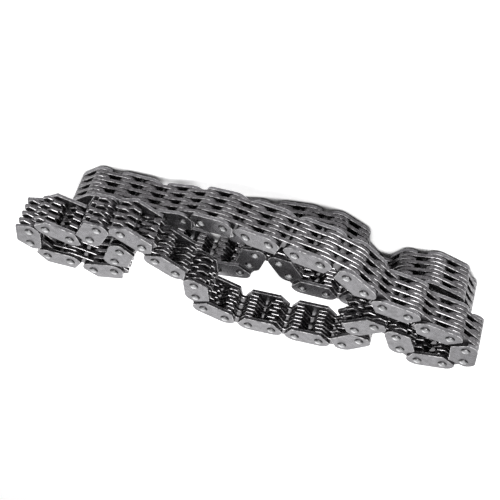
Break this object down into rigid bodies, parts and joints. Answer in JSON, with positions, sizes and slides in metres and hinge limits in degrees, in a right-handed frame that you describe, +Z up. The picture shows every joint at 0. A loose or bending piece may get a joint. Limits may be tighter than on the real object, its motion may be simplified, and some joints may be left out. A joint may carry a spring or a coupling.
{
  "type": "silent chain",
  "caption": "Open length of inverted-tooth silent chain laid in a two-level heap: toothed link plates laced between guide plates on riveted pins, to drive toothed sprockets.",
  "frame": {"origin": "on the floor, under the middle of the heap's outer box", "axes": "+X along the heap's long side, +Y away from the viewer, +Z up along the pins"},
  "size_m": [0.1787, 0.0692, 0.0318],
  "materials": {
    "chain_steel": "satin"
  },
  "bodies": {
    "section_01": {"section_01": "chain_steel"},
    "section_02": {"section_02": "chain_steel"},
    "section_03": {"section_03": "chain_steel"},
    "section_04": {"section_04": "chain_steel"},
    "section_05": {"section_05": "chain_steel"},
    "section_06": {"section_06": "chain_steel"},
    "section_07": {"section_07": "chain_steel"},
    "section_08": {"section_08": "chain_steel"},
    "section_09": {"section_09": "chain_steel"},
    "section_10": {"section_10": "chain_steel"},
    "section_11": {"section_11": "chain_steel"},
    "section_12": {"section_12": "chain_steel"},
    "section_13": {"section_13": "chain_steel"},
    "section_14": {"section_14": "chain_steel"},
    "section_15": {"section_15": "chain_steel"},
    "section_16": {"section_16": "chain_steel"},
    "section_17": {"section_17": "chain_steel"},
    "section_18": {"section_18": "chain_steel"},
    "section_19": {"section_19": "chain_steel"},
    "section_20": {"section_20": "chain_steel"},
    "section_21": {"section_21": "chain_steel"},
    "section_22": {"section_22": "chain_steel"},
    "section_23": {"section_23": "chain_steel"},
    "section_24": {"section_24": "chain_steel"},
    "section_25": {"section_25": "chain_steel"},
    "section_26": {"section_26": "chain_steel"},
    "section_27": {"section_27": "chain_steel"},
    "section_28": {"section_28": "chain_steel"},
    "section_29": {"section_29": "chain_steel"},
    "section_30": {"section_30": "chain_steel"},
    "section_31": {"section_31": "chain_steel"},
    "section_32": {"section_32": "chain_steel"},
    "section_33": {"section_33": "chain_steel"},
    "section_34": {"section_34": "chain_steel"},
    "section_35": {"section_35": "chain_steel"},
    "section_36": {"section_36": "chain_steel"},
    "section_37": {"section_37": "chain_steel"},
    "section_38": {"section_38": "chain_steel"},
    "section_39": {"section_39": "chain_steel"},
    "section_40": {"section_40": "chain_steel"},
    "section_41": {"section_41": "chain_steel"},
    "section_42": {"section_42": "chain_steel"}
  },
  "joints": [
    {"name": "hinge_01", "type": "hinge", "parent": "section_02", "child": "section_01", "pos_m": [0.05072, 0.01188, 0.02418], "axis": [0, 0, 1], "range_deg": [-8, 5]},
    {"name": "hinge_02", "type": "hinge", "parent": "section_03", "child": "section_02", "pos_m": [0.06887, 0.01267, 0.02418], "axis": [0, 0, -1], "range_deg": [-4, 8]},
    {"name": "hinge_03", "type": "hinge", "parent": "section_04", "child": "section_03", "pos_m": [0.08386, 0.00487, 0.02418], "axis": [0, 0, -1], "range_deg": [-4, 8]},
    {"name": "hinge_04", "type": "hinge", "parent": "section_05", "child": "section_04", "pos_m": [0.0744, -0.00997, 0.02418], "axis": [0, 0, 1], "range_deg": [-8, 5]},
    {"name": "hinge_05", "type": "hinge", "parent": "section_06", "child": "section_05", "pos_m": [0.05682, -0.01074, 0.02418], "axis": [0, 0, 1], "range_deg": [-8, 8]},
    {"name": "hinge_06", "type": "hinge", "parent": "section_07", "child": "section_06", "pos_m": [0.04341, -0.02103, 0.02418], "axis": [0, 0, -1], "range_deg": [-8, 8]},
    {"name": "hinge_07", "type": "hinge", "parent": "section_08", "child": "section_07", "pos_m": [0.03209, -0.00627, 0.02418], "axis": [0, 0, -1], "range_deg": [-8, 8]},
    {"name": "hinge_08", "type": "hinge", "parent": "section_09", "child": "section_08", "pos_m": [0.01806, 0.00659, 0.02418], "axis": [0, 0, 1], "range_deg": [-5, 8]},
    {"name": "hinge_09", "type": "hinge", "parent": "section_10", "child": "section_09", "pos_m": [0.01559, 0.02531, 0.02418], "axis": [0, 0, 1], "range_deg": [-5, 8]},
    {"name": "hinge_10", "type": "hinge", "parent": "section_11", "child": "section_10", "pos_m": [-0.00253, 0.03017, 0.02418], "axis": [0, 0, -1], "range_deg": [-8, 2]},
    {"name": "hinge_11", "type": "hinge", "parent": "section_12", "child": "section_11", "pos_m": [-0.02154, 0.02934, 0.02418], "axis": [0, 0, -1], "range_deg": [-8, 2]},
    {"name": "hinge_12", "type": "hinge", "parent": "section_13", "child": "section_12", "pos_m": [-0.04023, 0.02604, 0.02418], "axis": [0, 0, 1], "range_deg": [-2, 8]},
    {"name": "hinge_13", "type": "hinge", "parent": "section_14", "child": "section_13", "pos_m": [-0.04389, 0.00955, 0.02418], "axis": [0, 0, 1], "range_deg": [-2.5, 8]},
    {"name": "hinge_14", "type": "hinge", "parent": "section_15", "child": "section_14", "pos_m": [-0.05926, 0.00684, 0.02418], "axis": [0, 0, -1], "range_deg": [-8, 2]},
    {"name": "hinge_15", "type": "hinge", "parent": "section_16", "child": "section_15", "pos_m": [-0.06902, 0.02216, 0.02418], "axis": [0, 0, -1], "range_deg": [-8, 1.5]},
    {"name": "hinge_16", "type": "hinge", "parent": "section_17", "child": "section_16", "pos_m": [-0.08495, 0.01296, 0.02418], "axis": [0, 0, 1], "range_deg": [-1.5, 8]},
    {"name": "hinge_17", "type": "hinge", "parent": "section_18", "child": "section_17", "pos_m": [-0.07739, -0.00327, 0.02418], "axis": [0, 0, 1], "range_deg": [-2, 8]},
    {"name": "hinge_18", "type": "hinge", "parent": "section_19", "child": "section_18", "pos_m": [-0.06145, -0.01247, 0.02418], "axis": [-0.033, -0.0029, -0.9995], "range_deg": [-8, 2.5]},
    {"name": "hinge_19", "type": "hinge", "parent": "section_20", "child": "section_19", "pos_m": [-0.04536, -0.02086, 0.02347], "axis": [-0.0989, -0.0087, -0.9951], "range_deg": [-8, 2.5]},
    {"name": "hinge_20", "type": "hinge", "parent": "section_21", "child": "section_20", "pos_m": [-0.02953, -0.03007, 0.02168], "axis": [0.1644, 0.0144, 0.9863], "range_deg": [-2.5, 8]},
    {"name": "hinge_21", "type": "hinge", "parent": "section_22", "child": "section_21", "pos_m": [-0.01087, -0.02843, 0.01823], "axis": [0.2292, 0.0201, 0.9732], "range_deg": [-4, 8]},
    {"name": "hinge_22", "type": "hinge", "parent": "section_22", "child": "section_23", "pos_m": [0.00721, -0.02436, 0.01389], "axis": [-0.1969, -0.0172, -0.9803], "range_deg": [-2.5, 8]},
    {"name": "hinge_23", "type": "hinge", "parent": "section_23", "child": "section_24", "pos_m": [0.02411, -0.01636, 0.01064], "axis": [-0.1318, -0.0115, -0.9912], "range_deg": [-2, 8]},
    {"name": "hinge_24", "type": "hinge", "parent": "section_24", "child": "section_25", "pos_m": [0.042, -0.0107, 0.00852], "axis": [0.066, 0.0058, 0.9978], "range_deg": [-8, 1.5]},
    {"name": "hinge_25", "type": "hinge", "parent": "section_25", "child": "section_26", "pos_m": [0.06095, -0.00904, 0.00757], "axis": [0, 0, 1], "range_deg": [-8, 1]},
    {"name": "hinge_26", "type": "hinge", "parent": "section_26", "child": "section_27", "pos_m": [0.06768, 0.00722, 0.00757], "axis": [0, 0, -1], "range_deg": [-1, 8]},
    {"name": "hinge_27", "type": "hinge", "parent": "section_27", "child": "section_28", "pos_m": [0.05175, 0.01642, 0.00757], "axis": [0, 0, -1], "range_deg": [-1.5, 8]},
    {"name": "hinge_28", "type": "hinge", "parent": "section_28", "child": "section_29", "pos_m": [0.0336, 0.02215, 0.00757], "axis": [0, 0, 1], "range_deg": [-8, 1.5]},
    {"name": "hinge_29", "type": "hinge", "parent": "section_29", "child": "section_30", "pos_m": [0.01458, 0.02298, 0.00757], "axis": [0, 0, 1], "range_deg": [-8, 2.5]},
    {"name": "hinge_30", "type": "hinge", "parent": "section_30", "child": "section_31", "pos_m": [0.00136, 0.01188, 0.00757], "axis": [0, 0, -1], "range_deg": [-2.5, 8]},
    {"name": "hinge_31", "type": "hinge", "parent": "section_31", "child": "section_32", "pos_m": [-0.01049, 0.00433, 0.00757], "axis": [0, 0, -1], "range_deg": [-5, 8]},
    {"name": "hinge_32", "type": "hinge", "parent": "section_32", "child": "section_33", "pos_m": [-0.01998, 0.02077, 0.00757], "axis": [0, 0, 1], "range_deg": [-8, 8]},
    {"name": "hinge_33", "type": "hinge", "parent": "section_33", "child": "section_34", "pos_m": [-0.03903, 0.02077, 0.00757], "axis": [0, 0, 1], "range_deg": [-2.5, 5]},
    {"name": "hinge_34", "type": "hinge", "parent": "section_34", "child": "section_35", "pos_m": [-0.05808, 0.02077, 0.00757], "axis": [0, 0, -1], "range_deg": [-2.5, 2]},
    {"name": "hinge_35", "type": "hinge", "parent": "section_35", "child": "section_36", "pos_m": [-0.07624, 0.01674, 0.00757], "axis": [0, 0, -1], "range_deg": [-2, 1.5]},
    {"name": "hinge_36", "type": "hinge", "parent": "section_36", "child": "section_37", "pos_m": [-0.07547, -0.00084, 0.00757], "axis": [0, 0, 1], "range_deg": [-1.5, 2]},
    {"name": "hinge_37", "type": "hinge", "parent": "section_37", "child": "section_38", "pos_m": [-0.05763, -0.0024, 0.00757], "axis": [0, 0, 1], "range_deg": [-1.5, 2.5]},
    {"name": "hinge_38", "type": "hinge", "parent": "section_38", "child": "section_39", "pos_m": [-0.04335, 0.00585, 0.00757], "axis": [0, 0, -1], "range_deg": [-4, 2.5]},
    {"name": "hinge_39", "type": "hinge", "parent": "section_39", "child": "section_40", "pos_m": [-0.03705, -0.01144, 0.00757], "axis": [0, 0, -1], "range_deg": [-4, 2.5]},
    {"name": "hinge_40", "type": "hinge", "parent": "section_40", "child": "section_41", "pos_m": [-0.01973, -0.01691, 0.00757], "axis": [0, 0, 1], "range_deg": [-4, 5]},
    {"name": "hinge_41", "type": "hinge", "parent": "section_41", "child": "section_42", "pos_m": [-0.00115, -0.01279, 0.00757], "axis": [0, 0, 1], "range_deg": [-8, 8]}
  ]
}
